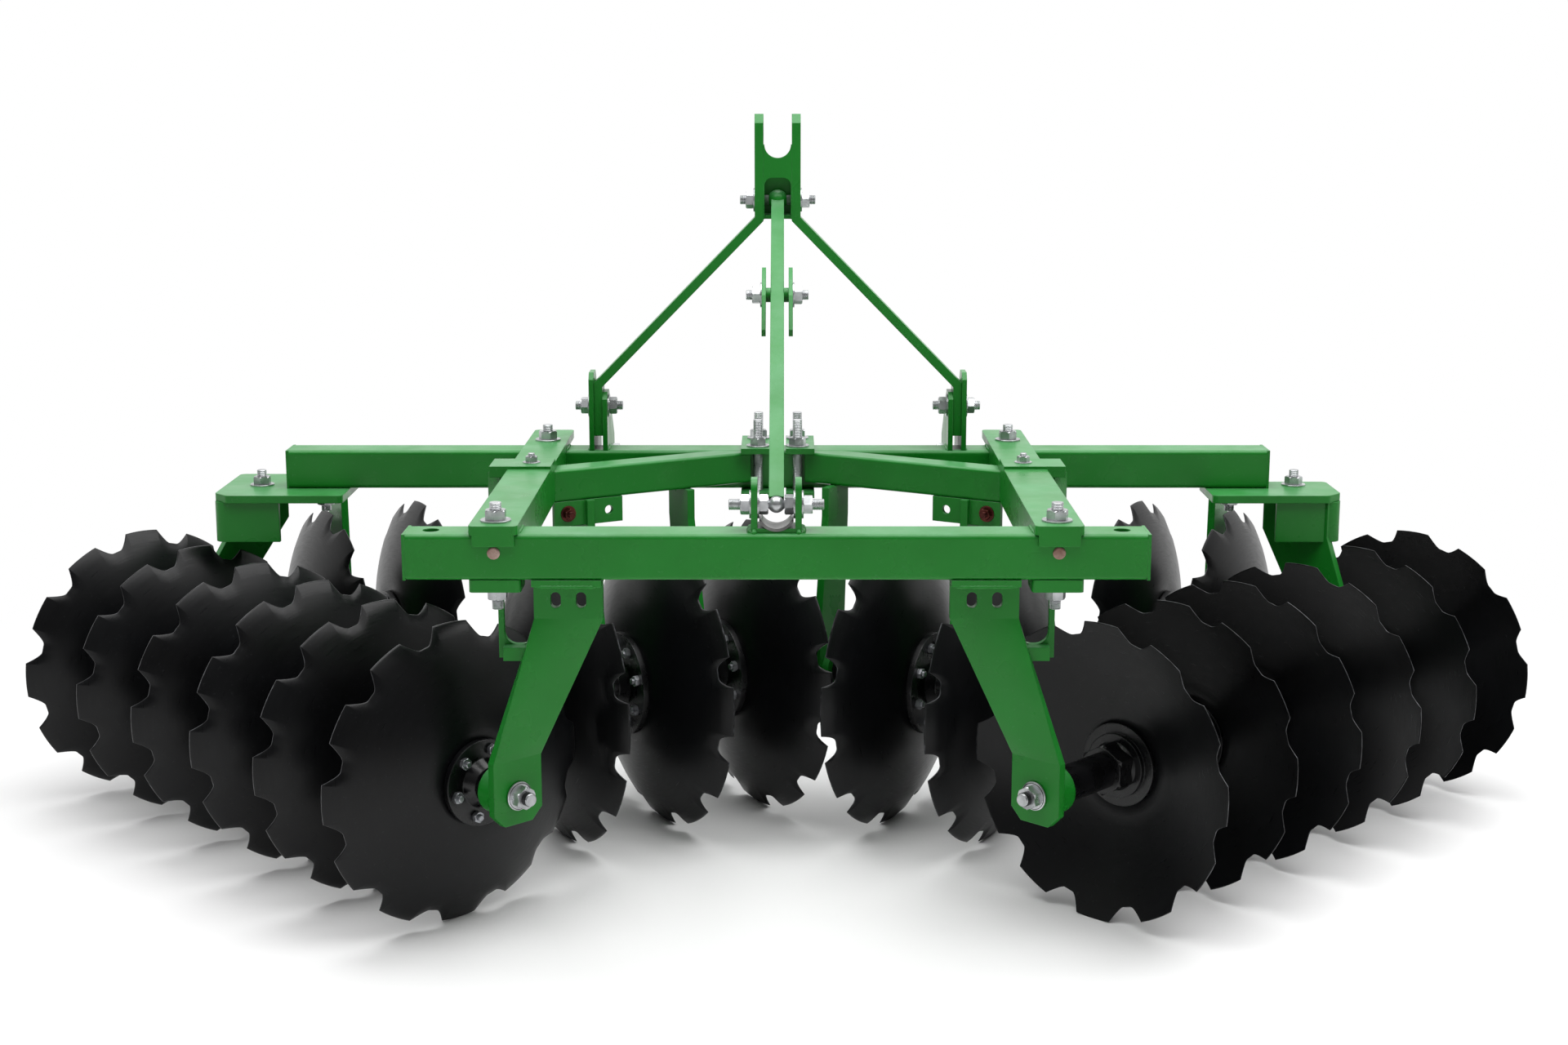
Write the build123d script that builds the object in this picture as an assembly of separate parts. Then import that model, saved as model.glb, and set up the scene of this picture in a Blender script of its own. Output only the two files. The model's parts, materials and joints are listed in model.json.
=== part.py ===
from build123d import *
import math
import os

# Mounted disc harrow. Millimetres, +Z up, +Y is the travel direction and +X is to the right.
# Plan places are measured from the rear beam's back face and moved to the frame's origin on export.

# Beams
BEAM = 80                 # square tube, outside
BEAM_WALL = 6
TUBE_ROUND = 8            # long edges of the tubes
BEAM_Z = 675              # underside of both beams
REAR_LENGTH = 1270
FRONT_LENGTH = 2045
FRONT_Y = 863             # back face of the front beam
CAP = 5
END_HOLE_R = 14.5         # upright hole near each end of the rear beam
END_HOLE_IN = 40          # from the tube's end to the hole's centre

# Side members, laid on both beams
SIDE_X = 483
SIDE_WIDTH = 84
SIDE_PLATE = 16
SIDE_WEB = 8
SIDE_WEB_DEEP = 60
SIDE_Y = (-8, 1044)
SIDE_BOLT_R = 12
SIDE_ROUND = 10           # corners of the plate
TAB_DROP = 20             # turned-down tab on the rear beam's face
TAB_INSET = 6
LAP_BACK = 270            # lap bolt behind the front beam
LAP_HALF = 45
LAP_T = 6
LAP_REACH = 36            # outside the side member, over the diagonal's end

# Gangs
REAR_DISC_R = 280
FRONT_DISC_R = 305
DISC_T = 6
REAR_DISH = 75
FRONT_DISH = 80
REAR_FLAT_R = 84          # flat middle of a disc
FRONT_FLAT_R = 112
NOTCHES = 12
NOTCH_DEEP = 26
NOTCH_MOUTH = 78
NOTCH_FLOOR = 34
REAR_ANGLE = 46           # of an axle from the cross direction
FRONT_ANGLE = 30
REAR_PITCH = 226          # disc spacing along the axle
FRONT_PITCH = 225
WING_PITCH = 220
REAR_IN = (585, 165)      # rim centre of the innermost disc, right-hand side
FRONT_IN = (46, 834)
WING_IN = (828, 1306)
REAR_COUNT = 6
FRONT_COUNT = 3
WING_COUNT = 2
REAR_INNER_BEARING = -150
LEFT_OUTER_BEARING = 950
RIGHT_OUTER_BEARING = 835
FRONT_OUTER_BEARING = 375
FRONT_LEFT_BEARING = 150
FRONT_RIGHT_BEARING = 70
WING_BEARING = 190

# Axle, spools and bearings
AXLE = 32                 # square bar
JOURNAL_R = 25
RUNNING = 0.06            # radial clearance in a bearing
SPOOL_R = 33
FLANGE_T = 12
REAR_FLANGE_R = 79
FRONT_FLANGE_R = 105
WASHER_R = 78             # stepped washer in a disc's hollow
WASHER_T = 10
STEP_R = 60
NECK_R = 46
NECK_T = 18
HOUSING_R = 44
HOUSING_LENGTH = 44
AXIAL_FREE = 6            # between a housing and what turns beside it
NUT_AF = 46
END_NUT_T = 18            # nut straight on an end disc's flange
STUB_R = 12.5             # axle end through a leg's foot
STUB_OUT = 12
STUB_FREE = 2             # round the stub and beside its nut
STUB_NUT_AF = 34
STUB_NUT_T = 16
STUB_FLANGE_R = 24
STUB_FLANGE_T = 4

# Legs
LEG_T = 16
FOOT_HALF = 52
FOOT_DROP = 52            # from the axle to the foot's end
FOOT_CHAMFER = 22
FOOT_RISE = 66            # from the axle to the foot's top
LEG_TOP_Z = 600           # where a rear leg starts to twist
LEG_SHOULDER = 60
REAR_LEG_X = (300, 420)   # top of a rear inner leg
REAR_LEG_Y = 40
PAD_T = 12
LEG_HOLE = (28, 18)
LEG_HOLE_X = 22
LEG_HOLE_DOWN = 42        # below the beam
STRAP_X = (424, 486)      # arched strap beside a rear leg
STRAP_Y = (64, 76)
STRAP_Z = (522, 650)
STRAP_WIDE = 10
STRAP_FOOT = 24
END_PLATE_X = (896, 1165)
END_PLATE_Y = 780         # near edge
END_PLATE_T = 16
END_CORNER = 30
LEFT_END_LEG_X = (1066, 1160)
RIGHT_END_LEG_X = (1030, 1140)
END_SHOULDER_Z = 585      # an end bracket's leg narrows below this
END_LIP_T = 12
END_LIP_Z = 576
END_LIP_BACK = 45
FRONT_LEG_WIDTH = 84
INNER_LEG_OFFSET = 25
HANGER_HALF = 75          # plate with two holes under a diagonal
HANGER_T = 10
HANGER_DROP = 51
HANGER_HOLE_R = 9
HANGER_HOLE_X = 45

# Diagonal beams over the front gangs
DIAGONAL_WIDTH = 60
DIAGONAL_DEEP = 64
DIAGONAL_WALL = 5
DIAGONAL_OFFSET = 45      # forward of the axle, square to it
DIAGONAL_END = 565        # along the axle
DIAGONAL_START = 80
DIAGONAL_ROUND = 6
DIAGONAL_INNER_X = 56

# Centre clamp
CLAMP_X = (17, 76)
CLAMP_T = 12
CLAMP_OVER = 46
STUD_R = 10
STUD_X = 41
STUD_OFF = 12
STUD_UP = 56
STUD_DOWN = 26

# Mast and lower hitch
MAST_BAR_T = 18
MAST_BAR_W = 60
MAST_FOOT_X = 374
MAST_EAR_X = 38
MAST_FOOT_Z = 785
MAST_KNEE_Z = 891
MAST_TOP_Z = 1446
MAST_EAR_DOWN = 212       # each of these is down from the mast's top
MAST_CUT = 18
TOP_PIN_DOWN = 41
TOP_PIN_R = 12.75
HEAD_T = 12
HEAD_BACK_T = 5
HEAD_SHOULDER = 2
HEAD_LOW_DOWN = 212
HEAD_FLOOR_T = 8
HEAD_ROUND = 16
HEAD_U_DOWN = 88
HEAD_ARCH_DOWN = 128
LUG_T = 10
LUG_TOP_Z = 917           # outer lug, above the mast's knee
LUG_INNER_TOP_Z = 876
LUG_CHAMFER = 14
LUG_INSET = 5
LUG_BOLT_Z = 845
LUG_BOLT_R = 10
HITCH_Y = 70              # pin centre ahead of the front beam
HITCH_Z = 720
HITCH_EDGE = 42
PIN_R = 14
PIN_OUT = 100
PIN_COLLAR_R = 22
PIN_COLLAR_T = 10

# Centre brace
BRACE_TOP_DOWN = 174      # from the mast's top
BRACE_LOW_Z = 800
BRACE_W = 26
BRACE_T = 20
BRACE_EYE_R = 21
BALL_R = 15
BALL_SEAT = 9             # from the ball's middle to the brace's end
BRACE_STUD_R = 9
BRACE_STUD_HALF = 80
BRACE_LUG_X = 38
BRACE_LUG_T = 11
BRACE_LUG_TOP = 846
BRACE_LUG_W = 56
BRACE_NUT_T = 14
BRACE_NUT_AF = 30
BRACE_INNER_NUT_T = 9
LINK_T = 8
LINK_GAP = 9
LINK_BOSS_R = 14
LINK_BOLT_R = 8
LINK_AT = 347             # from the mast bolt along the brace
LINK_OUTLINE = ((-66, -20), (-20, -24), (30, -20), (98, 14), (96, 30), (20, 26), (-25, 16), (-66, -4))
MAST_BOLT_R = 10
MAST_BOLT_HALF = 68
LUG_BOLT_OUT = 30

# Clamp plates under the rear beam and wing arms
UNDER_PLATE = (89, 76, 22)
UNDER_ROUND = 8
ARM_W = 50
ARM_Z = (676, 692)        # behind the front beam's face

Y_MID = 758.8             # from the rear beam's back face to the middle of the whole machine
BEAM_TOP = BEAM_Z + BEAM
REAR_Y = BEAM / 2
FRONT_MID_Y = FRONT_Y + BEAM / 2
MAST_EAR_Z = MAST_TOP_Z - MAST_EAR_DOWN
TOP_PIN_Z = MAST_TOP_Z - TOP_PIN_DOWN
BRACE_TOP_Z = MAST_TOP_Z - BRACE_TOP_DOWN
LAP_Y = FRONT_Y - LAP_BACK


def block(x, y, z):
    """A box between two limits on each axis."""
    size = [b - a for a, b in (x, y, z)]
    return Pos(*[(a + b) / 2 for a, b in (x, y, z)]) * Box(*size)


def rod(x, y, z, r):
    """A round bar along whichever axis is given as a pair."""
    along = [isinstance(v, tuple) for v in (x, y, z)].index(True)
    low, high = (x, y, z)[along]
    at = [(v[0] + v[1]) / 2 if isinstance(v, tuple) else v for v in (x, y, z)]
    turn = ((0, 90, 0), (90, 0, 0), (0, 0, 0))[along]
    return Pos(*at) * Rot(*turn) * Cylinder(r, high - low)


def plate(points, plane, thickness):
    """A flat plate with a polygon outline, centred on its plane."""
    return extrude(make_face(plane * Polyline(*points, close=True)), thickness / 2, both=True)


def turned(points):
    """A solid of revolution about Z from points given as radius, height."""
    return revolve(make_face(Plane.XZ * Polyline(*points, close=True)), Axis.Z)


def mirrored(shape):
    """The same piece on the other side."""
    return mirror(shape, Plane.YZ)


def both_sides(shapes):
    """Pieces and their mirror images in one list."""
    return list(shapes) + [mirrored(s) for s in shapes]


def export(node, shapes):
    """Move pieces to the frame's origin and write them as one node."""
    pieces = [Pos(0, -Y_MID, 0) * s for s in (shapes if isinstance(shapes, list) else [shapes])]
    solids = [s for p in pieces for s in p.solids()]
    export_step(solids[0] if len(solids) == 1 else Compound(children=solids), f"parts/{node}.step")


def hex_nut(across, height):
    """A plain hexagon nut blank standing on Z = 0."""
    return extrude(RegularPolygon(across / math.sqrt(3), 6), height)


def square_tube(x, y, z, wall):
    """A square tube along X with rounded long edges."""
    inner = [(a + wall, b - wall) for a, b in (y, z)]
    shapes = [block(x, y, z), block(x, *inner)]
    outer, hollow = [fillet(shape.edges().filter_by(Axis.X), r)
                     for shape, r in zip(shapes, (TUBE_ROUND, TUBE_ROUND - wall))]
    return outer - hollow


class Gang:
    """One axle line. The station s runs outward along it from the innermost disc's rim plane."""

    def __init__(self, side, inner, angle, inward, axle_z, radius, flat, dish, flange, pitch, count,
                 hollow, bearings, first=0):
        self.side, self.axle_z, self.bearings = side, axle_z, sorted(bearings)
        turn = math.radians(angle)
        self.along = (side * math.cos(turn), inward * math.sin(turn))
        self.start = (side * inner[0], inner[1])
        self.radius, self.flat, self.dish, self.flange, self.hollow = radius, flat, dish, flange, hollow
        self.hubs = [pitch * k - hollow * dish for k in range(first, count)]

    def at(self, s):
        """The plan point at station s."""
        return tuple(a + s * d for a, d in zip(self.start, self.along))

    def place(self, s=0):
        """A plane at station s with Z along the axle and X straight up."""
        x, y = self.at(s)
        return Plane((x, y, self.axle_z), x_dir=(0, 0, 1), z_dir=(*self.along, 0))

    def face(self, s):
        """A plane square to the axle at station s, with Y straight up from the axle."""
        x, y = self.at(s)
        dx, dy = self.along
        side = self.side
        return Plane((x, y, self.axle_z), x_dir=(-dy * side, dx * side, 0), z_dir=(dx * side, dy * side, 0))

    def disc(self):
        """A dished, notched disc whose flat middle starts at Z = 0 and whose rim is at Z = dish."""
        rim, flat, deep = self.radius, self.flat, self.dish
        middle = ((rim + flat) / 2, deep * 0.36)
        line = [Line((0, 0), (flat, 0)), ThreePointArc((flat, 0), middle, (rim, deep)),
                Line((rim, deep), (rim, deep + DISC_T)),
                ThreePointArc((rim, deep + DISC_T), (middle[0], middle[1] + DISC_T), (flat, DISC_T)),
                Line((flat, DISC_T), (0, DISC_T)), Line((0, DISC_T), (0, 0))]
        shell = revolve(make_face(Plane.XZ * Wire(line)), Axis.Z)
        notch = make_face(Polyline((rim + 4, -NOTCH_MOUTH / 2), (rim - NOTCH_DEEP, -NOTCH_FLOOR / 2),
                                   (rim - NOTCH_DEEP, NOTCH_FLOOR / 2), (rim + 4, NOTCH_MOUTH / 2), close=True))
        cut = extrude(notch, deep + 2 * DISC_T)
        step = 360 / NOTCHES
        shell -= [Rot(0, 0, step * (k + 0.5)) * cut for k in range(NOTCHES)]     # a tooth stands on the ground
        return shell - Box(AXLE, AXLE, 4 * DISC_T)

    def discs(self):
        """Every disc in place, hollow side towards +s when hollow is 1."""
        blank = self.disc()
        flip = Rot(0, 0, 0) if self.hollow > 0 else Rot(180, 0, 0)
        return [self.place(s).location * flip * blank for s in self.hubs]

    def stations(self):
        """Where each spool starts and stops, and whether each end of the axle is in a bearing."""
        faces = [sorted((s, s + self.hollow * DISC_T)) for s in self.hubs]
        journal = HOUSING_LENGTH / 2 - STUB_FREE
        in_bearing = (self.bearings[0] < faces[0][0], self.bearings[-1] > faces[-1][1])
        first = self.bearings[0] - journal if in_bearing[0] else faces[0][0] - FLANGE_T
        last = self.bearings[-1] + journal if in_bearing[1] else faces[-1][1] + FLANGE_T
        cuts = [first] + [v for face in faces for v in face] + [last]
        return list(zip(cuts[::2], cuts[1::2])), in_bearing

    def collar(self, s, way):
        """A spool's end against a disc: a wide flange on the bulging face, a stepped washer in the hollow."""
        if way == self.hollow:
            thick = 2 * WASHER_T
            steps = [(WASHER_R, 0), (WASHER_R, WASHER_T), (STEP_R, WASHER_T), (STEP_R, thick)]
        else:
            steps, thick = [(self.flange, 0), (self.flange, FLANGE_T)], FLANGE_T
        return [(r, s + way * up) for r, up in steps + [(NECK_R, thick), (SPOOL_R, thick + NECK_T)]]

    def spool(self, low, high, at_disc):
        """One spool from low to high, necked to a journal where a bearing takes it."""
        bearings = [b for b in self.bearings if low < b < high]
        if not bearings and not all(at_disc):
            way = 1 if at_disc[0] else -1
            wide = self.collar(low, way)[0][0]
            return turned([(0, low), (wide, low), (wide, high), (0, high)])
        outline = [(0, low)] + (self.collar(low, 1) if at_disc[0] else [(JOURNAL_R, low)])
        for b in bearings:
            reach = HOUSING_LENGTH / 2 + AXIAL_FREE
            outline += [(SPOOL_R, b - reach), (JOURNAL_R, b - reach)] if at_disc[0] else []
            outline += [(JOURNAL_R, b + reach), (SPOOL_R, b + reach)] if at_disc[1] else [(JOURNAL_R, high)]
        outline += (self.collar(high, -1)[::-1] if at_disc[1] else []) + [(0, high)]
        return turned(outline)

    def spools(self):
        """Flanged spools that fill the axle between the discs."""
        spans, _ = self.stations()
        out = []
        for k, (low, high) in enumerate(spans):
            body = self.spool(low, high, (k > 0, k < len(spans) - 1))
            body -= Pos(0, 0, (low + high) / 2) * Box(AXLE, AXLE, high - low + 2)
            out.append(self.place().location * body)
        return out

    def axle(self):
        """The square bar with a nut at each end, on a round stub where the end is in a bearing."""
        spans, in_bearing = self.stations()
        low, high = spans[0][0], spans[-1][1]
        bar = Pos(0, 0, (low + high) / 2) * Box(AXLE, AXLE, high - low)
        for s, turn, bearing in ((low, 180, in_bearing[0]), (high, 0, in_bearing[1])):
            end = hex_nut(NUT_AF, END_NUT_T)
            if bearing:
                nut = LEG_T + 2 * STUB_FREE
                tip = nut + STUB_FLANGE_T + STUB_NUT_T + STUB_OUT
                end = Pos(0, 0, tip / 2) * Cylinder(STUB_R, tip)
                end += Pos(0, 0, nut + STUB_FLANGE_T / 2) * Cylinder(STUB_FLANGE_R, STUB_FLANGE_T)
                end += Pos(0, 0, nut + STUB_FLANGE_T) * hex_nut(STUB_NUT_AF, STUB_NUT_T)
            bar += Pos(0, 0, s) * Rot(turn, 0, 0) * end
        return self.place().location * bar

    def housings(self):
        """Bearing housings round the journals."""
        ring = Cylinder(HOUSING_R, HOUSING_LENGTH) - Cylinder(JOURNAL_R + RUNNING, HOUSING_LENGTH)
        return [self.place(s).location * ring for s in self.bearings]

    def bore(self, s, r=HOUSING_R):
        """The hole that a leg's foot needs for its housing or for a stub."""
        return self.place(s).location * Cylinder(r, 4 * LEG_T)

    def over(self, z):
        """A level plane over the axle with X along it."""
        return Plane((*self.start, z), x_dir=(*self.along, 0), z_dir=(0, 0, 1))


def foot_plate(gang, s, rise=FOOT_RISE):
    """The foot of a leg, square to the axle, with its lower corners cut off."""
    half, drop = FOOT_HALF, FOOT_DROP
    points = [(-half, rise), (-half, FOOT_CHAMFER - drop), (FOOT_CHAMFER - half, -drop),
              (half - FOOT_CHAMFER, -drop), (half, FOOT_CHAMFER - drop), (half, rise)]
    return plate(points, gang.face(s), LEG_T)


def rear_leg(gang, side):
    """A rear inner leg: flat under the rear beam, twisted to a foot that the axle's stub goes through."""
    x = tuple(sorted(side * v for v in REAR_LEG_X))
    s, low = REAR_INNER_BEARING - (HOUSING_LENGTH + LEG_T) / 2, gang.axle_z + FOOT_RISE
    leg = block(x, (REAR_LEG_Y - LEG_T / 2, REAR_LEG_Y + LEG_T / 2), (LEG_TOP_Z, BEAM_Z - PAD_T))
    leg += block(x, (0, BEAM), (BEAM_Z - PAD_T, BEAM_Z))
    px, py = gang.at(s)
    dx, dy = gang.along
    turn = math.degrees(math.atan2(-dx * side, dy * side))
    turn = turn if abs(turn) < 90 else turn - math.copysign(180, turn)
    top_face = Pos(sum(x) / 2, REAR_LEG_Y, LEG_TOP_Z) * Rectangle(x[1] - x[0], LEG_T)
    low_face = Pos(px, py, low) * Rot(0, 0, turn) * Rectangle(2 * FOOT_HALF, LEG_T)
    leg += loft([top_face, low_face]) + foot_plate(gang, s, low - gang.axle_z)
    slot = Plane.XZ * Rot(0, 0, 90) * SlotOverall(*LEG_HOLE)
    for shift in (-LEG_HOLE_X, LEG_HOLE_X):
        leg -= Pos(sum(x) / 2 + shift, REAR_LEG_Y, BEAM_Z - LEG_HOLE_DOWN) * extrude(slot, LEG_T, both=True)
    strap = block(STRAP_X, STRAP_Y, STRAP_Z)
    wide = STRAP_X[1] - STRAP_X[0] - STRAP_WIDE
    arch = block((STRAP_X[0], STRAP_X[0] + wide), STRAP_Y, (STRAP_Z[0] + STRAP_FOOT, STRAP_Z[1]))
    strap -= fillet(arch.edges().filter_by(Axis.Y).group_by(Axis.Z)[0], wide * 0.45)
    strap += block((STRAP_X[0] - STRAP_FOOT, STRAP_X[1] - STRAP_WIDE), (REAR_LEG_Y, STRAP_Y[1]),
                   (STRAP_Z[0], STRAP_Z[0] + STRAP_FOOT))
    return leg + (strap if side > 0 else mirrored(strap)) - gang.bore(s, STUB_R + STUB_FREE / 2)


def end_bracket(gang, side):
    """The plate under a front beam end with a turned-down lip, and the leg to a rear gang's outer bearing."""
    s, leg_x = ((LEFT_OUTER_BEARING, LEFT_END_LEG_X), (RIGHT_OUTER_BEARING, RIGHT_END_LEG_X))[side > 0]
    bx, by = gang.at(s)
    slope = math.radians(REAR_ANGLE)
    inner, outer = [(abs(bx) - x) / math.sin(slope) for x in leg_x]
    top, shoulder = BEAM_Z - END_PLATE_T - gang.axle_z, END_SHOULDER_Z - gang.axle_z
    points = [(-FOOT_HALF, FOOT_RISE), (FOOT_HALF, FOOT_RISE), (inner, shoulder), (inner, top),
              (outer, top), (outer, shoulder)]
    leg = foot_plate(gang, s) + plate(points, gang.face(s), LEG_T)
    far = max(by + inner * math.cos(slope) + LEG_T, FRONT_Y + BEAM)
    x0, x1 = END_PLATE_X
    outline = [(x0, END_PLATE_Y), (x1 - END_CORNER, END_PLATE_Y), (x1, END_PLATE_Y + END_CORNER),
               (x1, far), (x0, far)]
    flat = Pos(0, 0, BEAM_Z - END_PLATE_T) * extrude(make_face(Polyline(*outline, close=True)), END_PLATE_T)
    flat = fillet(flat.edges().filter_by(Axis.Z), END_LIP_T)
    flat += block((x1 - END_LIP_T, x1), (END_PLATE_Y + END_LIP_BACK, far - END_CORNER),
                  (END_LIP_Z, BEAM_Z - END_PLATE_T))
    return leg + (flat if side > 0 else mirrored(flat)) - gang.bore(s)


def hanging_leg(gang, s, top_z, offset, width):
    """A straight leg square to its axle, carried offset ahead of it."""
    rise = top_z - gang.axle_z
    shoulder = rise - LEG_SHOULDER
    points = [(-FOOT_HALF, FOOT_RISE), (FOOT_HALF, FOOT_RISE), (offset + width / 2, shoulder),
              (offset + width / 2, rise), (offset - width / 2, rise), (offset - width / 2, shoulder)]
    return foot_plate(gang, s) + plate(points, gang.face(s), LEG_T) - gang.bore(s)


def front_legs(gang):
    """Both legs of a front gang, the outer one with a plate along the diagonal that has two holes."""
    top = BEAM_TOP - DIAGONAL_DEEP
    inner, outer = gang.bearings
    offset = DIAGONAL_OFFSET if inner == FRONT_LEFT_BEARING else INNER_LEG_OFFSET
    leg = hanging_leg(gang, outer, top, DIAGONAL_OFFSET, FRONT_LEG_WIDTH)
    across = DIAGONAL_OFFSET - (DIAGONAL_WIDTH - HANGER_T) / 2
    hanger = Box(2 * HANGER_HALF, HANGER_T, HANGER_DROP)
    for x in (-HANGER_HOLE_X, HANGER_HOLE_X):
        hanger -= Pos(x, 0, 0) * Rot(90, 0, 0) * Cylinder(HANGER_HOLE_R, 2 * HANGER_T)
    leg += gang.over(top - HANGER_DROP / 2).location * Pos(outer, gang.side * across, 0) * hanger
    return [hanging_leg(gang, inner, top, offset, FRONT_LEG_WIDTH), leg]


def diagonal(gang):
    """A box beam over a front gang, closed at its outer end and trimmed to the front beam's back face."""
    low, deep = BEAM_TOP - DIAGONAL_DEEP, DIAGONAL_DEEP
    frame = gang.over(low + deep / 2)
    across = gang.side * DIAGONAL_OFFSET
    sizes = ((DIAGONAL_END, DIAGONAL_WIDTH, deep),
             (DIAGONAL_END - DIAGONAL_WALL, DIAGONAL_WIDTH - 2 * DIAGONAL_WALL, deep - 2 * DIAGONAL_WALL))
    outer, hollow = [Pos((end - DIAGONAL_START) / 2, across, 0) * Box(end + DIAGONAL_START, wide, tall)
                     for end, wide, tall in sizes]
    outer = fillet(outer.edges().filter_by(Axis.X), DIAGONAL_ROUND)
    keep = block((DIAGONAL_INNER_X, FRONT_LENGTH), (0, FRONT_Y), (0, 2 * BEAM_TOP))
    keep = keep if gang.side > 0 else mirrored(keep)
    full = (frame.location * outer) & keep
    return full - frame.location * hollow, full


def side_member(full_diagonal, side):
    """A plate laid over both beams, with two webs, a tab on the rear face and a lap over the diagonal."""
    inner, outer = SIDE_X - SIDE_WIDTH / 2, SIDE_X + SIDE_WIDTH / 2
    plate_top = BEAM_TOP + SIDE_PLATE
    top = block((inner, outer), SIDE_Y, (BEAM_TOP, plate_top))
    top = fillet(top.edges().filter_by(Axis.Z), SIDE_ROUND)
    web_z = (BEAM_TOP - SIDE_WEB_DEEP, BEAM_TOP)
    for a in (inner, outer - SIDE_WEB):
        top += block((a, a + SIDE_WEB), (BEAM, FRONT_Y), web_z)
    top += block((inner + TAB_INSET, outer - TAB_INSET), (SIDE_Y[0], 0), (BEAM_TOP - TAB_DROP, BEAM_TOP))
    lap_y = (LAP_Y - LAP_HALF, LAP_Y + LAP_HALF)
    top += block((inner, outer + LAP_REACH), lap_y, (plate_top, plate_top + LAP_T))
    top += block((outer, outer + LAP_REACH), lap_y, (BEAM_TOP, plate_top))
    for y in (REAR_Y, FRONT_MID_Y, LAP_Y):
        top -= rod(SIDE_X, y, (BEAM_TOP, plate_top + LAP_T), SIDE_BOLT_R)
    return (top if side > 0 else mirrored(top)) - full_diagonal


def rear_beam():
    """The rear cross tube with an upright hole near each end."""
    tube = square_tube((-REAR_LENGTH / 2, REAR_LENGTH / 2), (0, BEAM), (BEAM_Z, BEAM_TOP), BEAM_WALL)
    for side in (-1, 1):
        tube -= rod(side * (REAR_LENGTH / 2 - END_HOLE_IN), REAR_Y, (BEAM_Z, BEAM_TOP), END_HOLE_R)
    return tube


def end_caps():
    """Plates that close the four tube ends."""
    caps = [block((REAR_LENGTH / 2, REAR_LENGTH / 2 + CAP), (0, BEAM), (BEAM_Z, BEAM_TOP)),
            block((FRONT_LENGTH / 2, FRONT_LENGTH / 2 + CAP), (FRONT_Y, FRONT_Y + BEAM), (BEAM_Z, BEAM_TOP))]
    return both_sides(caps)


def centre_clamp():
    """Top and bottom plates that hold the diagonals' inner ends to the front beam."""
    y = (FRONT_Y - CLAMP_OVER, FRONT_Y + BEAM + CLAMP_OVER)
    plates = [block(CLAMP_X, y, (BEAM_TOP, BEAM_TOP + CLAMP_T)),
              block(CLAMP_X, y, (BEAM_Z - CLAMP_T, BEAM_Z))]
    return [p - clamp_holes() for p in both_sides(plates)]


def stud_places():
    """Plan places of the clamp's four studs."""
    return [(side * STUD_X, y) for side in (-1, 1) for y in (FRONT_Y - STUD_OFF, FRONT_Y + BEAM + STUD_OFF)]


def clamp_holes():
    """Holes for the clamp's studs."""
    return Compound(children=[rod(x, y, (BEAM_Z - BEAM, BEAM_TOP + BEAM), STUD_R) for x, y in stud_places()])


def clamp_studs():
    """Threaded studs with a nut over and under the clamp."""
    nut = hex_nut(BRACE_NUT_AF, BRACE_NUT_T)
    out = []
    for x, y in stud_places():
        stud = rod(x, y, (BEAM_Z - CLAMP_T - STUD_DOWN, BEAM_TOP + CLAMP_T + STUD_UP), STUD_R)
        stud += Pos(x, y, BEAM_TOP + CLAMP_T) * nut
        stud += Pos(x, y, BEAM_Z - CLAMP_T - BRACE_NUT_T) * nut
        out.append(stud)
    return out


def mast_bar():
    """The right-hand bent flat of the mast: upright foot, raking shank and upright ear."""
    half = MAST_BAR_T / 2
    lean = [(MAST_FOOT_X, MAST_FOOT_Z), (MAST_FOOT_X, MAST_KNEE_Z),
            (MAST_EAR_X, MAST_EAR_Z), (MAST_EAR_X, MAST_TOP_Z)]
    rake = math.atan2(MAST_EAR_Z - MAST_KNEE_Z, MAST_FOOT_X - MAST_EAR_X)
    lift = half / math.tan(math.pi / 4 + rake / 2) if rake else 0
    outer = [(x + half, z + (lift if 0 < k < 3 else 0)) for k, (x, z) in enumerate(lean)]
    inner = [(x - half, z - (lift if 0 < k < 3 else 0)) for k, (x, z) in enumerate(lean)]
    y = (FRONT_MID_Y - MAST_BAR_W / 2, FRONT_MID_Y + MAST_BAR_W / 2)
    face = make_face(Plane.XZ * Polyline(*outer, *inner[::-1], close=True))
    bar = Pos(0, FRONT_MID_Y, 0) * extrude(face, MAST_BAR_W / 2, both=True)
    cut = MAST_CUT
    for edge, way in zip(y, (cut, -cut)):
        corner = [(edge, MAST_TOP_Z), (edge + way, MAST_TOP_Z), (edge, MAST_TOP_Z - cut)]
        bar -= plate(corner, Plane.YZ, 4 * MAST_EAR_X)
    bar -= rod((0, 2 * MAST_EAR_X), FRONT_MID_Y, TOP_PIN_Z, TOP_PIN_R)
    bar -= rod((0, 2 * MAST_EAR_X), FRONT_MID_Y, BRACE_TOP_Z, MAST_BOLT_R)
    return bar - rod((MAST_EAR_X, 2 * MAST_FOOT_X), FRONT_MID_Y, LUG_BOLT_Z, LUG_BOLT_R)


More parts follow.
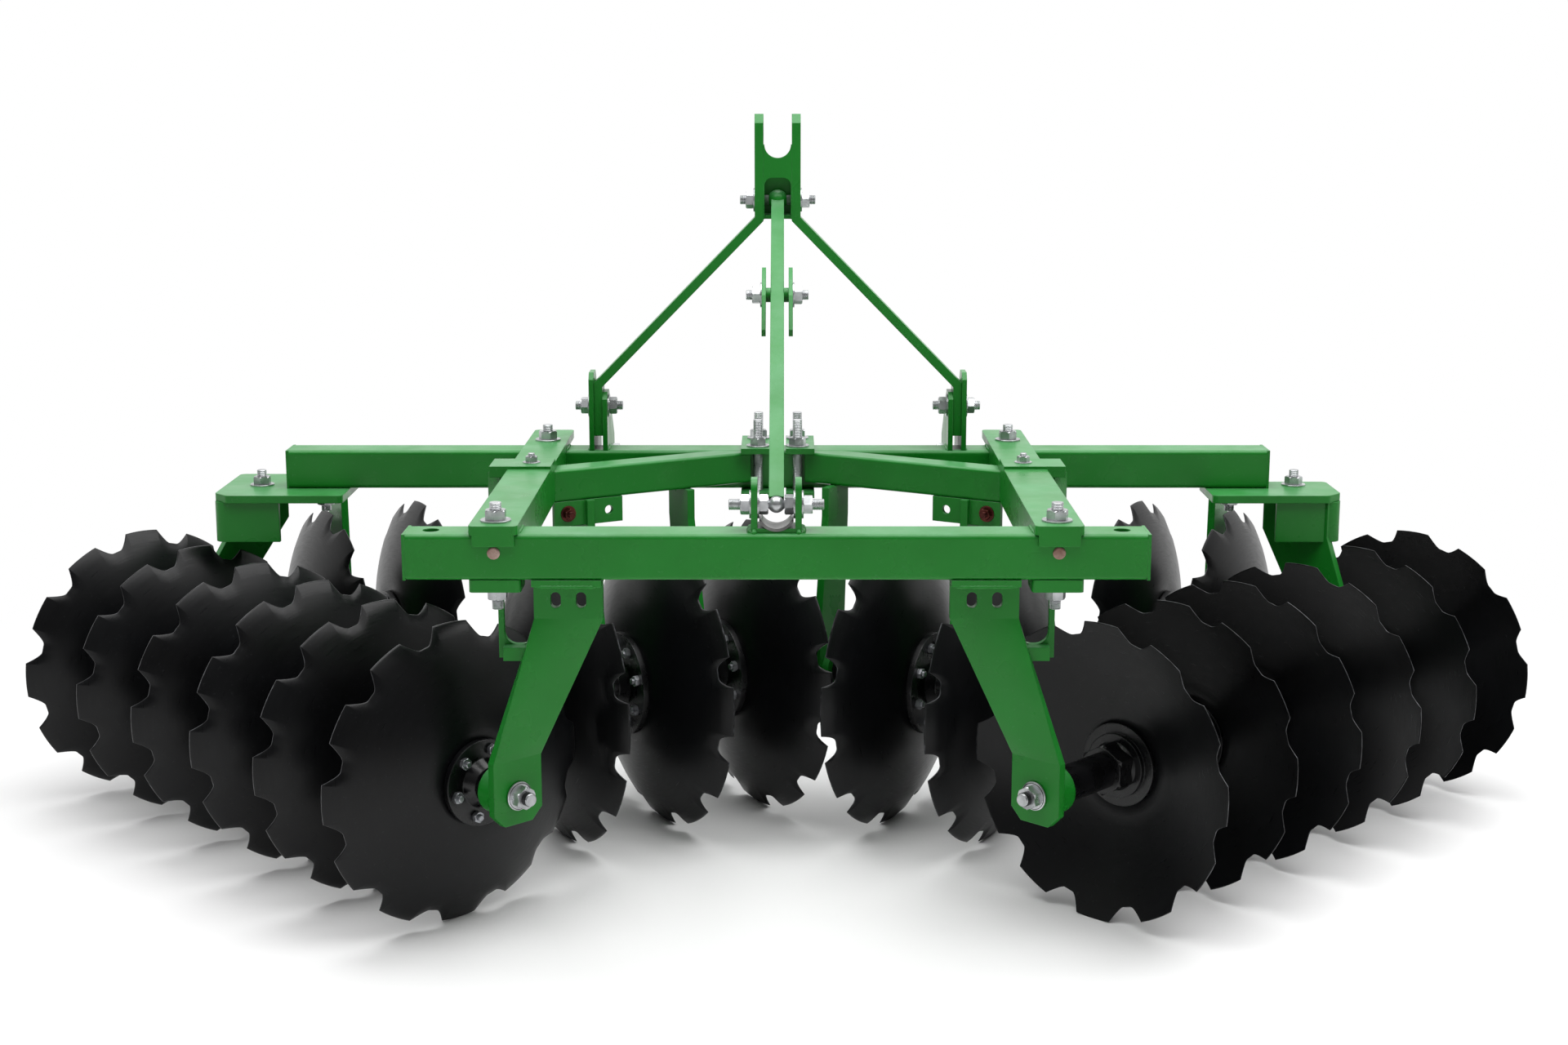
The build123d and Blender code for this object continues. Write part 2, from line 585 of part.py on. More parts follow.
def mast_head():
    """The plate between the ears, cut in a U for the top link and arched below, with a back and a floor."""
    half = MAST_EAR_X - MAST_BAR_T / 2
    wide = half - HEAD_SHOULDER
    back, front = FRONT_MID_Y - MAST_BAR_W / 2, FRONT_MID_Y + MAST_BAR_W / 2
    low, arch_top = MAST_TOP_Z - HEAD_LOW_DOWN, MAST_TOP_Z - HEAD_ARCH_DOWN
    bend = MAST_TOP_Z - HEAD_U_DOWN + wide
    head = block((-half, half), (back, back + HEAD_T), (low, bend)) - rod(0, (back, back + HEAD_T), bend, wide)
    arch = block((-wide, wide), (back, back + HEAD_T), (low, arch_top))
    head -= fillet(arch.edges().filter_by(Axis.Y).group_by(Axis.Z)[-1], HEAD_ROUND)
    head += block((-half, half), (front - HEAD_BACK_T, front), (low, arch_top))
    return head + block((-half, half), (back + HEAD_T, front), (low, low + HEAD_FLOOR_T))


def mast_bolts():
    """The bolts through the ears, through the mast's feet and through the brace's link plates."""
    nut = hex_nut(BRACE_NUT_AF, BRACE_NUT_T)
    ear, lug = MAST_EAR_X + MAST_BAR_T / 2, MAST_BAR_T / 2 + LUG_T
    link = BRACE_W / 2 + LINK_GAP + LINK_T
    link_y, link_z = brace_point(LINK_AT)
    bolts = [(0, FRONT_MID_Y, BRACE_TOP_Z, MAST_BOLT_R, ear, MAST_BOLT_HALF),
             (0, link_y, link_z, LINK_BOLT_R, link, MAST_BOLT_HALF)]
    bolts += [(side * MAST_FOOT_X, FRONT_MID_Y, LUG_BOLT_Z, LUG_BOLT_R, lug, lug + LUG_BOLT_OUT)
              for side in (-1, 1)]
    out = []
    for x, y, z, r, face, reach in bolts:
        bolt = rod((x - reach, x + reach), y, z, r)
        bolt += Pos(x + face, y, z) * Rot(0, 90, 0) * nut
        out.append(bolt + Pos(x - face, y, z) * Rot(0, -90, 0) * nut)
    return out


def hitch_plates():
    """Pairs of lugs that stand on the front beam, clasp a mast foot and reach forward to a lower pin."""
    back, front = FRONT_Y + LUG_INSET, FRONT_Y + BEAM
    pin_y = front + HITCH_Y
    reach, low, cut = pin_y + HITCH_EDGE, HITCH_Z - HITCH_EDGE, LUG_CHAMFER
    out = []
    for step, top in ((-1, LUG_INNER_TOP_Z), (1, LUG_TOP_Z)):
        x = MAST_FOOT_X + step * (MAST_BAR_T + LUG_T) / 2
        points = [(back, BEAM_TOP), (back, top - cut), (back + cut, top), (front - cut, top),
                  (front, top - cut), (reach, HITCH_Z + HITCH_EDGE), (reach, low + cut), (reach - cut, low),
                  (front, low), (front, BEAM_TOP)]
        lug = plate(points, Plane((x, 0, 0), x_dir=(0, 1, 0), z_dir=(1, 0, 0)), LUG_T)
        lug -= rod((x - LUG_T, x + LUG_T), FRONT_MID_Y, LUG_BOLT_Z, LUG_BOLT_R)
        lug -= rod((x - LUG_T, x + LUG_T), pin_y, HITCH_Z, PIN_R)
        out.append(lug)
    return both_sides(out)


def hitch_pins():
    """Lower link pins, each held in its pair of lugs and standing outward."""
    inner = MAST_FOOT_X - MAST_BAR_T / 2 - LUG_T
    outer = MAST_FOOT_X + MAST_BAR_T / 2 + LUG_T
    y = FRONT_Y + BEAM + HITCH_Y
    pin = rod((inner - 22, outer + PIN_OUT), y, HITCH_Z, PIN_R)
    pin += rod((outer, outer + PIN_COLLAR_T), y, HITCH_Z, PIN_COLLAR_R)
    pin += Pos(inner, y, HITCH_Z) * Rot(0, -90, 0) * hex_nut(NUT_AF, BRACE_NUT_T)
    return both_sides([pin])


def brace_plane():
    """A plane along the brace from the mast bolt, with X down it and Z square to it in its upright plane."""
    dy, dz = REAR_Y - FRONT_MID_Y, BRACE_LOW_Z - BRACE_TOP_Z
    return Plane((0, FRONT_MID_Y, BRACE_TOP_Z), x_dir=(0, dy, dz), z_dir=(0, -dz, dy)), math.hypot(dy, dz)


def brace_point(along):
    """Y and Z of a point along the brace from the mast bolt."""
    plane, _ = brace_plane()
    at = plane.origin + plane.x_dir * along
    return at.Y, at.Z


def centre_brace():
    """The sloping bar of the brace, with a round eye on the mast bolt and a cupped end on the ball."""
    plane, length = brace_plane()
    low = length - BALL_SEAT
    bar = Pos(low / 2, 0, 0) * Box(low, BRACE_W, BRACE_T)
    bar += Rot(90, 0, 0) * Sphere(BRACE_EYE_R)
    for at, r in ((0, MAST_BOLT_R), (LINK_AT, LINK_BOLT_R)):
        bar -= Pos(at, 0, 0) * Rot(90, 0, 0) * Cylinder(r, 4 * BRACE_W)
    return plane.location * (bar - Pos(length, 0, 0) * Rot(90, 0, 0) * Sphere(BALL_R))


def brace_links():
    """Two curved-edge plates on bosses either side of the brace, near its upper third."""
    plane, _ = brace_plane()
    outline = [(LINK_AT + x, y) for x, y in LINK_OUTLINE]
    out = []
    for side in (-1, 1):
        frame = Plane((0, side * (BRACE_W / 2 + LINK_GAP + LINK_T / 2), 0), x_dir=(1, 0, 0), z_dir=(0, -1, 0))
        link = plate(outline, frame, LINK_T)
        boss = Rot(90, 0, 0) * Cylinder(LINK_BOSS_R, LINK_GAP)
        link += Pos(LINK_AT, side * (BRACE_W + LINK_GAP) / 2, 0) * boss
        link -= Pos(LINK_AT, 0, 0) * Rot(90, 0, 0) * Cylinder(LINK_BOLT_R, 4 * BRACE_W)
        out.append(plane.location * link)
    return out


def brace_lugs():
    """Two lugs on the rear beam and the saddle between them, under the brace's ball."""
    out = block((BRACE_LUG_X - BRACE_LUG_T / 2, BRACE_LUG_X + BRACE_LUG_T / 2),
                (REAR_Y - BRACE_LUG_W / 2, REAR_Y + BRACE_LUG_W / 2), (BEAM_TOP, BRACE_LUG_TOP))
    out = fillet(out.edges().filter_by(Axis.X).group_by(Axis.Z)[-1], 18)
    out -= rod((0, 2 * BRACE_LUG_X), REAR_Y, BRACE_LOW_Z, BRACE_STUD_R)
    inner = BRACE_LUG_X - BRACE_LUG_T / 2
    saddle = block((-inner, inner), (REAR_Y - BRACE_LUG_W / 2, REAR_Y + BRACE_LUG_W / 2),
                   (BEAM_TOP, BEAM_TOP + 8))
    return out + mirrored(out) + saddle


def ball_stud():
    """The cross stud with its ball under the brace's end and a nut each side of each lug."""
    stud = rod((-BRACE_STUD_HALF, BRACE_STUD_HALF), REAR_Y, BRACE_LOW_Z, BRACE_STUD_R)
    stud += Pos(0, REAR_Y, BRACE_LOW_Z) * Rot(0, 90, 0) * Sphere(BALL_R)
    nut = hex_nut(BRACE_NUT_AF, BRACE_NUT_T)
    outside = BRACE_LUG_X + BRACE_LUG_T / 2
    for side in (-1, 1):
        stud += Pos(side * outside, REAR_Y, BRACE_LOW_Z) * Rot(0, 90 * side, 0) * nut
        inside = side * (BRACE_LUG_X - BRACE_LUG_T / 2)
        inner_nut = Rot(0, -90 * side, 0) * hex_nut(BRACE_NUT_AF, BRACE_INNER_NUT_T)
        stud += Pos(inside, REAR_Y, BRACE_LOW_Z) * inner_nut
    return stud


def under_plates():
    """Clamp plates bolted up under the rear beam below the side members."""
    wide, deep, thick = UNDER_PLATE
    flat = block((SIDE_X - wide / 2, SIDE_X + wide / 2), (REAR_Y - deep / 2, REAR_Y + deep / 2),
                 (BEAM_Z - thick, BEAM_Z))
    return both_sides([fillet(flat.edges().filter_by(Axis.Z), UNDER_ROUND)])


def wing_arm(gang):
    """An arm on the front beam's face with the leg that carries a wing gang."""
    x, y = gang.at(WING_BEARING)
    arm = block((x - ARM_W / 2, x + ARM_W / 2), (FRONT_Y + BEAM, y + ARM_W / 2), ARM_Z)
    return arm + hanging_leg(gang, WING_BEARING, ARM_Z[0], 0, FRONT_LEG_WIDTH)


def rear_gang(side):
    """A rear gang. Both are the same assembly, so the right one is hollow towards the middle."""
    return Gang(side, REAR_IN, REAR_ANGLE, 1, REAR_DISC_R, REAR_DISC_R, REAR_FLAT_R, REAR_DISH, REAR_FLANGE_R,
                REAR_PITCH, REAR_COUNT, -side,
                (REAR_INNER_BEARING, LEFT_OUTER_BEARING if side < 0 else RIGHT_OUTER_BEARING))


def front_gang(side):
    """A front gang. The left one has the extra disc over the middle of the machine."""
    return Gang(side, FRONT_IN, FRONT_ANGLE, -1, FRONT_DISC_R, FRONT_DISC_R, FRONT_FLAT_R, FRONT_DISH,
                FRONT_FLANGE_R, FRONT_PITCH, FRONT_COUNT, -1,
                (FRONT_LEFT_BEARING if side < 0 else FRONT_RIGHT_BEARING, FRONT_OUTER_BEARING),
                0 if side < 0 else 1)


def wing_gang(side):
    """A short gang ahead of a front beam end."""
    return Gang(side, WING_IN, FRONT_ANGLE, -1, REAR_DISC_R, REAR_DISC_R, REAR_FLAT_R, REAR_DISH, REAR_FLANGE_R,
                WING_PITCH, WING_COUNT, -1, (WING_BEARING,))


def main():
    os.makedirs("parts", exist_ok=True)
    housings = []
    for side, hand in ((-1, "left"), (1, "right")):
        rear, front, wing = rear_gang(side), front_gang(side), wing_gang(side)
        for name, gang in (("rear", rear), ("front", front), ("wing", wing)):
            export(f"{name}_spools_{hand}", gang.spools())
            export(f"{name}_axle_{hand}", gang.axle())
            export(f"{name}_discs_{hand}", gang.discs())
            housings += gang.housings()
        tube, full = diagonal(front)
        export(f"diagonal_beam_{hand}", tube)
        export(f"side_member_{hand}", side_member(full, side))
        export(f"rear_leg_{hand}", rear_leg(rear, side))
        export(f"end_bracket_{hand}", end_bracket(rear, side))
        export(f"front_legs_{hand}", front_legs(front))
        export(f"wing_arm_{hand}", wing_arm(wing))
        export(f"mast_bar_{hand}", mast_bar() if side > 0 else mirrored(mast_bar()))
    export("bearing_housings", housings)
    export("rear_beam", rear_beam())
    export("front_beam", square_tube((-FRONT_LENGTH / 2, FRONT_LENGTH / 2), (FRONT_Y, FRONT_Y + BEAM),
                                     (BEAM_Z, BEAM_TOP), BEAM_WALL))
    export("beam_end_caps", end_caps())
    export("centre_clamp", centre_clamp())
    export("clamp_studs", clamp_studs())
    export("mast_head_plate", mast_head())
    export("mast_bolts", mast_bolts())
    export("hitch_plates", hitch_plates())
    export("lower_hitch_pins", hitch_pins())
    export("centre_brace", centre_brace())
    export("brace_link_plates", brace_links())
    export("brace_lugs", brace_lugs())
    export("ball_stud", ball_stud())
    export("under_plates", under_plates())


main()
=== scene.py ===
import json
import math

import bpy
import numpy as np
from mathutils import Matrix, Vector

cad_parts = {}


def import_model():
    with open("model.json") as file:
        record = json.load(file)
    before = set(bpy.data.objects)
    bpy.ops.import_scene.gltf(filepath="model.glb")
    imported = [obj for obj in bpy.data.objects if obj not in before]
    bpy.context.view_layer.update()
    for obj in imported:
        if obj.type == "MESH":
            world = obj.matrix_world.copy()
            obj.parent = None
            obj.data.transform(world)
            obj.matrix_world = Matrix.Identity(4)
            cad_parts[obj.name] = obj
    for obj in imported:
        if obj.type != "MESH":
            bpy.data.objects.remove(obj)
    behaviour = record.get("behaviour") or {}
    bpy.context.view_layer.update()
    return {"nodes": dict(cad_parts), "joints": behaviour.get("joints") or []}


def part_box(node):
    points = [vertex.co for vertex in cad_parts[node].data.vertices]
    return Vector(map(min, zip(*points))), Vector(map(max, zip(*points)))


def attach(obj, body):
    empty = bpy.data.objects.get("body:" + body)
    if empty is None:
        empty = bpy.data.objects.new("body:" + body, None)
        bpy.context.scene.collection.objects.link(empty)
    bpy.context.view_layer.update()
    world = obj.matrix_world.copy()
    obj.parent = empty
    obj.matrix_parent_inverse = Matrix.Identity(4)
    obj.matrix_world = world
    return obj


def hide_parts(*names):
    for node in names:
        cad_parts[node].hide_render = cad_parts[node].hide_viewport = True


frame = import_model()
JOINTS = {j["child"]: j for j in frame["joints"]}
MM = 0.001
UP = np.array([0.0, 0.0, 1.0])

# Discs, in metres, as the gangs are made
DISC_THICK = 6 * MM
NOTCH_COUNT = 12
NOTCH_DEEP = 26 * MM
BEVEL_WIDE = 11 * MM          # ground edge on the bulging side
BEVEL_LEFT = 0.35             # share of the thickness left at the very edge
DISC_BORE = 26 * MM
MID_RISE = 0.36               # share of the dish reached half way out
GANG_KINDS = {
    "rear": dict(radius=280 * MM, flat=84 * MM, dish=75 * MM, pitch=226 * MM, count=6,
                 flange=79 * MM, bolts=6, mouth=74 * MM, floor=20 * MM, round=1.5),
    "front": dict(radius=305 * MM, flat=112 * MM, dish=80 * MM, pitch=225 * MM, count=3,
                  flange=105 * MM, bolts=8, mouth=60 * MM, floor=12 * MM, round=2.6),
    "wing": dict(radius=280 * MM, flat=84 * MM, dish=75 * MM, pitch=220 * MM, count=2,
                 flange=79 * MM, bolts=6, mouth=74 * MM, floor=20 * MM, round=1.5),
}
FLANGE_THICK = 12 * MM
EASED_EDGE = 3 * MM


def mesh_piece(name, points, faces, body, material, smooth=True):
    """A mesh object from a point array and a list of faces, riding on a body."""
    mesh = bpy.data.meshes.new(name)
    mesh.from_pydata(points.reshape(-1, 3), [], faces)
    mesh.validate()
    mesh.polygons.foreach_set("use_smooth", np.full(len(mesh.polygons), smooth))
    piece = bpy.data.objects.new(name, mesh)
    bpy.context.scene.collection.objects.link(piece)
    piece.data.materials.append(material)
    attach(piece, body)
    return piece


def grid_faces(rows, columns, wrap_rows=False, wrap_columns=True, start=0):
    """Quads of a grid of rows by columns, each (r, c) joined to (r + 1, c + 1); either way may wrap round."""
    r, c = np.meshgrid(np.arange(rows if wrap_rows else rows - 1),
                       np.arange(columns if wrap_columns else columns - 1), indexing="ij")
    r2, c2 = (r + 1) % rows, (c + 1) % columns
    quads = np.stack([r * columns + c, r * columns + c2, r2 * columns + c2, r2 * columns + c], -1)
    return quads.reshape(-1, 4) + start


def axes_of(direction):
    """Two unit vectors square to a direction, the first as near straight up as it can be."""
    along = np.asarray(direction, float) / np.linalg.norm(direction)
    lead = UP if abs(along[2]) < 0.9 else np.array([0.0, 1.0, 0.0])
    first = lead - along * (lead @ along)
    first /= np.linalg.norm(first)
    return along, first, np.cross(along, first)


class Gang:
    """A gang's axle line from its joint, with the stations of its discs' flat middles along it."""

    def __init__(self, kind, hand):
        self.name, self.body = f"{kind}_{hand}", f"{kind}_gang_{hand}"
        self.sizes = GANG_KINDS[kind]
        joint = JOINTS[self.body]
        self.origin = np.array(joint["pos_m"])
        self.along, self.up, self.side = axes_of(joint["axis"])
        self.hollow = 1 if (kind, hand) == ("rear", "left") else -1
        first = 1 if (kind, hand) == ("front", "right") else 0
        pitch, dish = self.sizes["pitch"], self.sizes["dish"]
        self.hubs = [pitch * k - self.hollow * dish for k in range(first, self.sizes["count"])]

    def world(self, radius, angle, station):
        """Points at radius and angle about the axle, at a station along it."""
        radius, angle, station = np.broadcast_arrays(radius, angle, station)
        across = np.cos(angle)[..., None] * self.up + np.sin(angle)[..., None] * self.side
        return self.origin + station[..., None] * self.along + radius[..., None] * across


def arc_height(radius, flat, rim, dish):
    """Height of a disc's face over its flat middle.

    The face is a circle through the flat's edge, a point half way out at MID_RISE of the dish, and the rim.
    """
    x1, x2, x3 = flat, (flat + rim) / 2, rim
    y1, y2, y3 = 0.0, MID_RISE * dish, dish
    slope = np.linalg.solve(np.array([[2 * (x2 - x1), 2 * (y2 - y1)], [2 * (x3 - x1), 2 * (y3 - y1)]]),
                            np.array([x2**2 + y2**2 - x1**2 - y1**2, x3**2 + y3**2 - x1**2 - y1**2]))
    bend = math.hypot(x1 - slope[0], y1 - slope[1])
    rise = slope[1] - np.sqrt(np.maximum(bend**2 - (radius - slope[0]) ** 2, 0))
    return np.where(radius <= flat, 0.0, rise)


def rim_angles(size):
    """Angles round a rim: a few across each tooth, close together in each notch, one on each notch corner."""
    step = 2 * math.pi / NOTCH_COUNT
    half = size["mouth"] / 2 / size["radius"]
    across = np.concatenate([np.linspace(0, 0.9, 9), [0.97, 1.0, 1.03]]) * half
    across = np.concatenate([across, half * 1.03 + (step / 2 - half * 1.03) * np.array([0.2, 0.5, 0.8])])
    tooth = step / 2 + np.concatenate([-across[:0:-1], across])
    return (np.arange(NOTCH_COUNT)[:, None] * step + tooth).ravel()


def notched_rim(angle, size):
    """Rim radius by angle: a full circle less notches, sharp at the mouth and rounded at the floor."""
    step = 2 * math.pi / NOTCH_COUNT
    off = np.abs((angle % step) - step / 2) * size["radius"]
    ramp = np.clip((size["mouth"] / 2 - off) / (size["mouth"] / 2 - size["floor"] / 2), 0, 1)
    return size["radius"] - NOTCH_DEEP * (1 - (1 - ramp) ** size["round"])


def disc_set(gang, material):
    """Notched, dished discs: a closed section of hollow face, ground edge and bulging face, carried round."""
    size = gang.sizes
    angle = rim_angles(size)
    rim = notched_rim(angle, size)
    span = size["radius"] - NOTCH_DEEP - DISC_BORE
    inner = np.concatenate([[0.0], np.linspace(0.32, 0.86, 7)]) * span + DISC_BORE
    outer = np.array([0.25, 0.6, 0.85, 0.96, 1.0])
    ring = np.concatenate([np.repeat(inner[:, None], len(angle), 1),
                           inner[-1] + outer[:, None] * (rim - inner[-1])])
    height = arc_height(ring, size["flat"], size["radius"], size["dish"])
    edge = rim - ring
    ground = np.clip(1 - edge / BEVEL_WIDE, 0, 1)
    hollow_face = height + DISC_THICK
    bulging_face = height + DISC_THICK * (1 - BEVEL_LEFT) * ground
    section_r = np.concatenate([ring, ring[::-1]])
    section_s = np.concatenate([hollow_face, bulging_face[::-1]])
    # On the bulging face the distances are pushed out, so the painted highlight line at the rim is thinner
    # there.
    distance = np.concatenate([edge, edge[::-1] + 0.8 * MM])
    rows, columns = section_r.shape
    quads = grid_faces(rows, columns, wrap_rows=True)
    quads = quads[:, ::-1] if gang.hollow > 0 else quads
    points = np.stack([gang.world(section_r, angle, hub + gang.hollow * section_s) for hub in gang.hubs])
    faces = np.concatenate([quads + k * rows * columns for k in range(len(gang.hubs))])
    piece = mesh_piece(f"{gang.name}_notched_discs", points, faces.tolist(), gang.body,
                       material)
    count = len(gang.hubs)
    for label, values in (("edge_distance", distance), ("ring_radius", section_r),
                          ("ring_angle", np.broadcast_to(angle, section_r.shape))):
        layer = piece.data.attributes.new(label, "FLOAT", "POINT")
        layer.data.foreach_set("value", np.tile(values.ravel(), count).astype(np.float32))
    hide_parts(f"{gang.name.split('_')[0]}_discs_{gang.name.split('_')[1]}")
    return piece


def hex_radius(angle, across):
    """Radius of a hexagon by angle, from its width across flats."""
    return across / 2 / np.cos((angle % (math.pi / 3)) - math.pi / 6)


def stacked(name, rings, places, body, material, smooth=False, spin=0.37):
    """Closed pieces of stacked rings: each ring is a radius by angle at a height along its own axis.

    places holds a point and a direction for each copy; each copy is turned a little further than the last.
    """
    sides = len(rings[0][0])
    angle = np.linspace(0, 2 * math.pi, sides, endpoint=False)
    radius, level = np.stack([r for r, _ in rings]), np.array([z for _, z in rings])
    rows = len(rings)
    quads = grid_faces(rows, sides)
    points, faces = [], []
    for k, (at, way) in enumerate(places):
        along, first, second = axes_of(way)
        turn = angle + spin * k
        across = np.cos(turn)[:, None] * first + np.sin(turn)[:, None] * second
        points.append(np.asarray(at, float) + level[:, None, None] * along + radius[..., None] * across)
        start = k * rows * sides
        faces += (quads + start).tolist()
        faces.append(list(range(start + sides - 1, start - 1, -1)))
        faces.append(list(range(start + (rows - 1) * sides, start + rows * sides)))
    return mesh_piece(name, np.stack(points), faces, body, material, smooth)


def thread_rings(radius, low, high, pitch=2.5 * MM, sides=36):
    """Rings of a threaded end: a zigzag between crest and root along the height, closed by a chamfer."""
    steps = max(int((high - low) / pitch), 1)
    full = np.ones(sides)
    rings = [(full * radius * 0.92, low)]
    for k in range(steps):
        base = low + k * (high - low) / steps
        rings += [(full * radius, base + 0.35 * pitch), (full * radius, base + 0.55 * pitch),
                  (full * radius * 0.92, base + 0.95 * pitch)]
    return rings + [(full * radius * 0.8, high)]


def nut_rings(size, washer, shank, bolt, flange=0.0, sides=36):
    """Rings of a washer, a chamfered hexagon nut or head and the threaded end that stands out of it."""
    angle = np.linspace(0, 2 * math.pi, sides, endpoint=False)
    hexagon, full = hex_radius(angle, size), np.ones(sides)
    thick, tall = washer * size * 0.1, size * 0.5
    disc = full * size * 0.78
    rings = [(disc, 0), (disc, thick * 0.75), (disc * 0.98, thick)] if washer else []
    if flange:
        rings += [(full * flange, thick), (full * flange, thick + size * 0.06),
                  (full * size * 0.6, thick + size * 0.12)]
        tall += size * 0.12
    rings += [(np.minimum(hexagon, size * 0.54), thick + (size * 0.12 if flange else 0)),
              (hexagon, thick + tall * (0.3 if flange else 0.08)),
              (hexagon, thick + tall * 0.88), (np.minimum(hexagon, size * 0.515), thick + tall)]
    top = thick + tall
    if shank <= 0:
        return rings + [(full * size * 0.4, top), (full * size * 0.1, top)]
    if sides < 24:
        return rings + [(full * bolt, top), (full * bolt, top + shank * 0.8),
                        (full * bolt * 0.75, top + shank)]
    return rings + [(full * bolt * 1.06, top)] + thread_rings(bolt, top, top + shank, sides=sides)


def fasteners(name, places, size, body, material, shank=10 * MM, washer=True, flange=0.0, sides=36):
    """Hexagon nuts on washers with threaded ends; size is the width across flats."""
    rings = nut_rings(size, 1 if washer else 0, shank, size * 0.31, flange, sides)
    return stacked(name, rings, places, body, material)


def threaded_rods(name, runs, radius, body, material):
    """Threaded rods from point to point, each with the same length."""
    length = float(np.linalg.norm(np.subtract(runs[0][1], runs[0][0])))
    rings = thread_rings(radius, 0, length, sides=24)
    places = [(a, np.subtract(b, a)) for a, b in runs]
    return stacked(name, rings, places, body, material)


def lathe(name, outline, at, way, body, material):
    """A turned piece: an outline of radius and height carried round an axis."""
    rings = [(np.full(48, r), z) for r, z in outline]
    return stacked(name, rings, [(at, way)], body, material, smooth=True)


def weld_beads(name, runs, width, body, material):
    """Weld beads: a round section carried along straight runs, its radius rippled like laid weld."""
    sides, points, faces, start = 8, [], [], 0
    angle = np.linspace(0, 2 * math.pi, sides, endpoint=False)
    for a, b in runs:
        a, b = np.asarray(a, float), np.asarray(b, float)
        length = np.linalg.norm(b - a)
        t = np.linspace(0, 1, max(int(length / (3 * MM)), 4))
        along, first, second = axes_of(b - a)
        swell = width / 2 * (1 + 0.16 * np.sin(2 * math.pi * t * length / (7 * MM)))
        swell *= np.clip(8 * np.minimum(t, 1 - t), 0.15, 1)
        across = np.cos(angle)[:, None] * first + np.sin(angle)[:, None] * second
        points.append((a + t[:, None] * (b - a))[:, None] + swell[:, None, None] * across)
        faces += grid_faces(len(t), sides, start=start).tolist()
        faces.append(list(range(start + sides - 1, start - 1, -1)))
        faces.append(list(range(start + (len(t) - 1) * sides, start + len(t) * sides)))
        start += len(t) * sides
    points = np.concatenate([p.reshape(-1, 3) for p in points])
    return mesh_piece(name, points, faces, body, material)


def strip(name, path, low, high, thick, body, material):
    """An upright strip: a rectangle of a thickness by a height carried along a level path."""
    path = np.asarray(path, float)
    along = np.gradient(path, axis=0)
    along /= np.linalg.norm(along, axis=1)[:, None]
    across = np.stack([-along[:, 1], along[:, 0]], 1) * thick / 2
    rim = np.stack([path + across, path + across, path - across, path - across], 1)
    level = np.broadcast_to(np.array([low, high, high, low]), rim.shape[:2])
    points = np.concatenate([rim, level[..., None]], 2)
    faces = grid_faces(len(path), 4).tolist()
    last = 4 * (len(path) - 1)
    faces += [[3, 2, 1, 0], [last, last + 1, last + 2, last + 3]]
    return mesh_piece(name, points, faces, body, material, smooth=False)


def cup(name, middle, radius, reach, thick, length, body, material):
    """A hollow saddle: an arc about a line along Y, of a thickness, carried along the line."""
    turn = np.linspace(-reach, reach, 25)
    arc = np.concatenate([np.stack([np.sin(turn), -np.cos(turn)], 1) * radius,
                          np.stack([np.sin(turn), -np.cos(turn)], 1)[::-1] * (radius - thick)])
    along = np.array([-length / 2, length / 2])
    points = np.empty((2, len(arc), 3))
    points[..., 0], points[..., 2] = middle[0] + arc[:, 0], middle[2] + arc[:, 1]
    points[..., 1] = middle[1] + along[:, None]
    count = len(arc)
    faces = grid_faces(2, count)[:, ::-1].tolist() + [list(range(count)), list(range(count, 2 * count))[::-1]]
    return mesh_piece(name, points, faces, body, material, smooth=False)


class Value:
    """A socket that takes part in Python arithmetic by adding Math nodes."""

    def __init__(self, tree, socket):
        self.tree, self.socket = tree, socket

    def math(self, operation, other):
        return self.tree.node("ShaderNodeMath", {"operation": operation}, {0: self, 1: other})

    def __add__(self, other): return self.math("ADD", other)
    def __mul__(self, other): return self.math("MULTIPLY", other)


